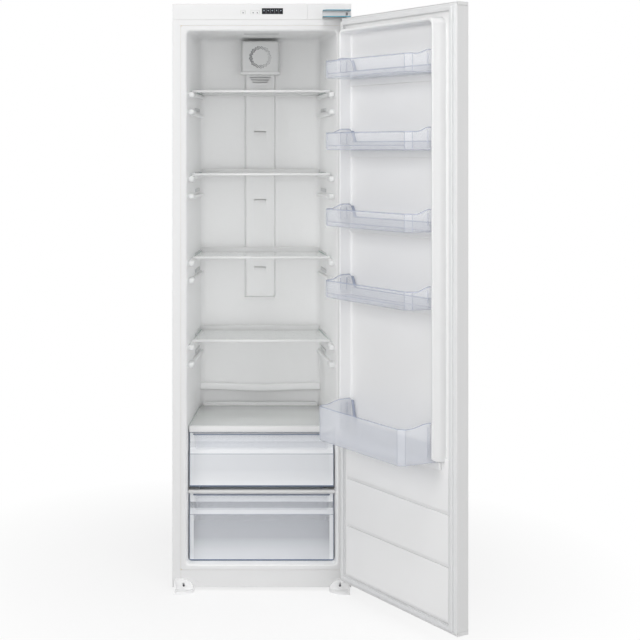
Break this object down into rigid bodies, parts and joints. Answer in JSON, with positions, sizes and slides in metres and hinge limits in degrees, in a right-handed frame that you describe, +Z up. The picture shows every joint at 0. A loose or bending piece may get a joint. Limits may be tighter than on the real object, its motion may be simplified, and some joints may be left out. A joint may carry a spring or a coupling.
{
  "type": "column refrigerator",
  "caption": "Tall built-in column refrigerator with a hinged insulated door, glass shelves, clear drawers, clear door balconies and a rear condenser.",
  "frame": {"origin": "middle of the flat underside of the cabinet's base panel, 10 mm above the floor", "axes": "+Z up, +Y from the door into the cabinet, +X to the right as seen from the front"},
  "size_m": [0.813, 0.9821, 1.7725],
  "materials": {
    "white_steel": "satin",
    "zinc": "satin",
    "white_plastic": "satin",
    "liner_plastic": "satin",
    "insulation_foam": "matte",
    "dark_display": "gloss",
    "circuit_board": "satin",
    "lamp_lens": "satin",
    "shelf_glass": "polished",
    "clear_plastic": "gloss",
    "black_enamel": "satin",
    "copper": "satin",
    "grey_plastic": "matte",
    "seal_rubber": "matte"
  },
  "bodies": {
    "cabinet": {"outer_casing": "white_steel", "back_panel": "zinc", "insulation_foam": "insulation_foam", "inner_liner": "liner_plastic", "base_panel": "white_steel", "control_fascia": "white_plastic", "hinge_cover": "white_plastic", "display_window": "dark_display", "control_board": "circuit_board", "lamp_lens": "lamp_lens", "lamp_board": "circuit_board", "fan_cover": "liner_plastic", "air_duct": "liner_plastic", "fan_motor": "grey_plastic", "drawer_divider": "white_plastic", "top_hinge_bracket": "zinc", "bottom_hinge_bracket": "zinc", "top_hinge_pin": "zinc", "bottom_hinge_pin": "zinc", "left_foot": "white_plastic", "right_foot": "white_plastic", "compressor": "black_enamel", "compressor_rail": "zinc", "condenser_coil": "black_enamel", "condenser_wires": "black_enamel", "drip_tray": "grey_plastic", "drain_tube": "grey_plastic", "filter_dryer": "copper", "suction_pipe": "copper"},
    "mode_button": {"mode_button": "white_plastic"},
    "set_button": {"set_button": "white_plastic"},
    "fan_impeller": {"fan_impeller": "grey_plastic"},
    "shelf_1": {"shelf_1_glass": "shelf_glass", "shelf_1_front_trim": "white_plastic", "shelf_1_rear_trim": "white_plastic"},
    "shelf_2": {"shelf_2_glass": "shelf_glass", "shelf_2_front_trim": "white_plastic", "shelf_2_rear_trim": "white_plastic"},
    "shelf_3": {"shelf_3_glass": "shelf_glass", "shelf_3_front_trim": "white_plastic", "shelf_3_rear_trim": "white_plastic"},
    "shelf_4": {"shelf_4_glass": "shelf_glass", "shelf_4_front_trim": "white_plastic", "shelf_4_rear_trim": "white_plastic"},
    "crisper_cover": {"crisper_cover_glass": "shelf_glass", "crisper_cover_front_trim": "white_plastic", "crisper_cover_rear_trim": "white_plastic"},
    "upper_drawer": {"upper_drawer": "clear_plastic"},
    "lower_drawer": {"lower_drawer": "clear_plastic"},
    "door": {"door_outer_panel": "white_steel", "door_foam": "insulation_foam", "door_liner": "liner_plastic", "door_gasket": "seal_rubber", "door_top_cap": "white_plastic", "door_bottom_cap": "white_plastic"},
    "balcony_1": {"balcony_1": "clear_plastic"},
    "balcony_2": {"balcony_2": "clear_plastic"},
    "balcony_3": {"balcony_3": "clear_plastic"},
    "balcony_4": {"balcony_4": "clear_plastic"},
    "bottle_balcony": {"bottle_balcony": "clear_plastic"}
  },
  "joints": [
    {"name": "door_hinge", "type": "hinge", "parent": "cabinet", "child": "door", "pos_m": [0.258, -0.2635, 0.87], "axis": [0, 0, 1], "range_deg": [-120.74, 3]},
    {"name": "upper_drawer_slide", "type": "slide", "parent": "cabinet", "child": "upper_drawer", "axis": [0, -1, 0], "range_m": [0, 0.24]},
    {"name": "lower_drawer_slide", "type": "slide", "parent": "cabinet", "child": "lower_drawer", "axis": [0, -1, 0], "range_m": [0, 0.16]},
    {"name": "shelf_1_slide", "type": "slide", "parent": "cabinet", "child": "shelf_1", "axis": [0, -1, 0], "range_m": [0, 0.26]},
    {"name": "shelf_2_slide", "type": "slide", "parent": "cabinet", "child": "shelf_2", "axis": [0, -1, 0], "range_m": [0, 0.26]},
    {"name": "shelf_3_slide", "type": "slide", "parent": "cabinet", "child": "shelf_3", "axis": [0, -1, 0], "range_m": [0, 0.26]},
    {"name": "shelf_4_slide", "type": "slide", "parent": "cabinet", "child": "shelf_4", "axis": [0, -1, 0], "range_m": [0, 0.26]},
    {"name": "crisper_cover_slide", "type": "slide", "parent": "cabinet", "child": "crisper_cover", "axis": [0, -1, 0], "range_m": [0, 0.26]},
    {"name": "balcony_1_lift", "type": "slide", "parent": "door", "child": "balcony_1", "axis": [0, 0, 1], "range_m": [0, 0.025]},
    {"name": "balcony_2_lift", "type": "slide", "parent": "door", "child": "balcony_2", "axis": [0, 0, 1], "range_m": [0, 0.025]},
    {"name": "balcony_3_lift", "type": "slide", "parent": "door", "child": "balcony_3", "axis": [0, 0, 1], "range_m": [0, 0.025]},
    {"name": "balcony_4_lift", "type": "slide", "parent": "door", "child": "balcony_4", "axis": [0, 0, 1], "range_m": [0, 0.025]},
    {"name": "bottle_balcony_lift", "type": "slide", "parent": "door", "child": "bottle_balcony", "axis": [0, 0, 1], "range_m": [0, 0.025]},
    {"name": "mode_button_press", "type": "slide", "parent": "cabinet", "child": "mode_button", "axis": [0, 1, 0], "range_m": [0, 0.0006], "stiffness_N_per_m": 400, "springref_m": -0.0005},
    {"name": "set_button_press", "type": "slide", "parent": "cabinet", "child": "set_button", "axis": [0, 1, 0], "range_m": [0, 0.0006], "stiffness_N_per_m": 400, "springref_m": -0.0005},
    {"name": "fan_spin", "type": "hinge", "parent": "cabinet", "child": "fan_impeller", "pos_m": [0, 0.1447, 1.6211], "axis": [0, 1, 0], "continuous": true}
  ]
}
